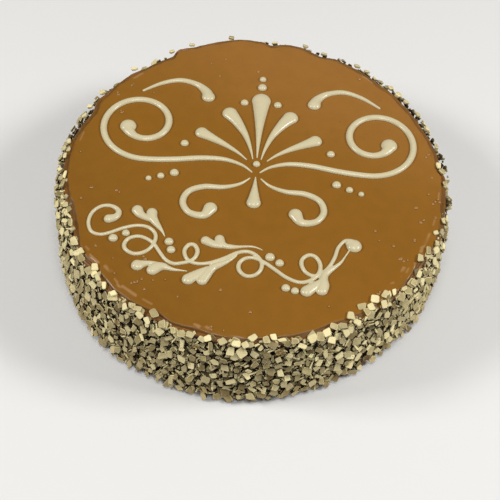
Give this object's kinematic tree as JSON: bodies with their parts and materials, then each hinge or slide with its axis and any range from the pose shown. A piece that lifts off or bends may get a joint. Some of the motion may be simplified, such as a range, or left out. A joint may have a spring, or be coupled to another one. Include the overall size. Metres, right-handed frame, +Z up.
{
  "type": "sachertorte cake",
  "caption": "Round whole chocolate layer cake under smooth brown glaze, its side coated with diced nuts, its top piped with white icing scrolls and a looped vine.",
  "frame": {"origin": "middle of the cake's flat foot, on the surface it stands on", "axes": "+Z up through the cake's top, -Y towards the pictured front with the looped vine, +X to the viewer's right"},
  "size_m": [0.2524, 0.253, 0.0695],
  "materials": {
    "glaze": "smooth, softly glossy milk-brown chocolate glaze",
    "nuts": "matte diced blanched nuts, cream to olive beige",
    "icing": "softly glossy cream-white piped icing"
  },
  "bodies": {
    "root": {"glazed_cake": "glaze", "nut_coat": "nuts", "vine_stem": "icing", "vine_leaf_1": "icing", "vine_leaf_2": "icing", "vine_leaf_4": "icing", "vine_dot_1": "icing", "vine_dot_2": "icing", "vine_dot_3": "icing", "vine_dot_4": "icing", "vine_dot_5": "icing", "vine_dot_6": "icing", "vine_dot_7": "icing", "vine_dot_8": "icing", "scroll_right": "icing", "scroll_left": "icing", "inner_petal_right": "icing", "inner_petal_left": "icing", "outer_petal_right": "icing", "outer_petal_left": "icing", "upper_curl_right": "icing", "upper_curl_left": "icing", "lower_curl_right": "icing", "lower_curl_left": "icing", "middle_petal": "icing", "middle_drop": "icing", "scroll_bead_1": "icing", "scroll_bead_2": "icing", "scroll_bead_3": "icing", "scroll_bead_4": "icing", "scroll_bead_5": "icing", "scroll_bead_6": "icing", "scroll_bead_7": "icing", "scroll_bead_8": "icing", "scroll_bead_9": "icing", "scroll_bead_10": "icing", "scroll_bead_11": "icing", "scroll_bead_12": "icing", "scroll_bead_13": "icing"}
  },
  "joints": []
}
